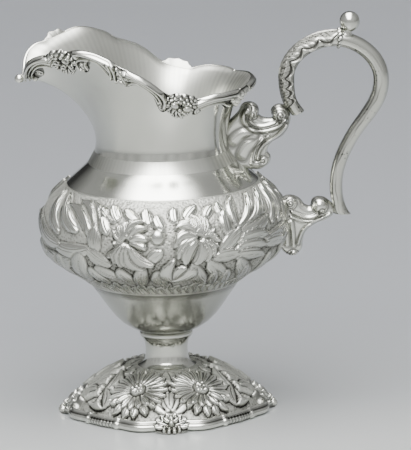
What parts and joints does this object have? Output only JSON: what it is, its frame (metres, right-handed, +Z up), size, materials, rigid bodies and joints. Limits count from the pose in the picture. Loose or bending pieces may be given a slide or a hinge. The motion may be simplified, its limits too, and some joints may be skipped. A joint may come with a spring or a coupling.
{
  "type": "creamer jug",
  "caption": "Footed silver creamer with a drawn-out pouring lip, an embossed flower band, a scroll handle with a ball thumb-piece, and cast flower borders on rim and foot.",
  "frame": {"origin": "middle of the length and width at the plane the foot stands on", "axes": "+Z up along the body, -X towards the pouring lip, +X towards the handle, -Y the side that the picture shows"},
  "size_m": [0.1377, 0.0924, 0.148],
  "materials": {
    "polished_silver": "polished, raised and spun sheet",
    "chased_silver": "embossed and chased sheet, oxidised in the recesses",
    "cast_silver": "cast and polished, oxidised in the recesses"
  },
  "bodies": {
    "root": {"body_shell": "polished_silver", "stem_spool": "polished_silver", "stem_flange": "polished_silver", "handle_half_near": "polished_silver", "handle_half_far": "polished_silver", "thumb_ball": "polished_silver", "thumb_collar": "polished_silver", "foot_dome": "chased_silver", "handle_leaf": "chased_silver", "upper_bracket": "cast_silver", "lower_bracket": "cast_silver", "rim_heel_mount": "cast_silver", "rim_tip_bead": "cast_silver", "rim_lip_scroll_near": "cast_silver", "rim_front_flower_near": "cast_silver", "rim_long_scroll_near": "cast_silver", "rim_mid_scroll_near": "cast_silver", "rim_side_flower_near": "cast_silver", "rim_back_scroll_near": "cast_silver", "rim_lip_scroll_far": "cast_silver", "rim_front_flower_far": "cast_silver", "rim_long_scroll_far": "cast_silver", "rim_mid_scroll_far": "cast_silver", "rim_side_flower_far": "cast_silver", "rim_back_scroll_far": "cast_silver", "foot_border_handle_far": "cast_silver", "foot_border_lip_far": "cast_silver", "foot_border_lip_near": "cast_silver", "foot_border_handle_near": "cast_silver", "foot_boss_handle": "cast_silver", "foot_boss_far": "cast_silver", "foot_boss_lip": "cast_silver", "foot_boss_near": "cast_silver"}
  },
  "joints": []
}
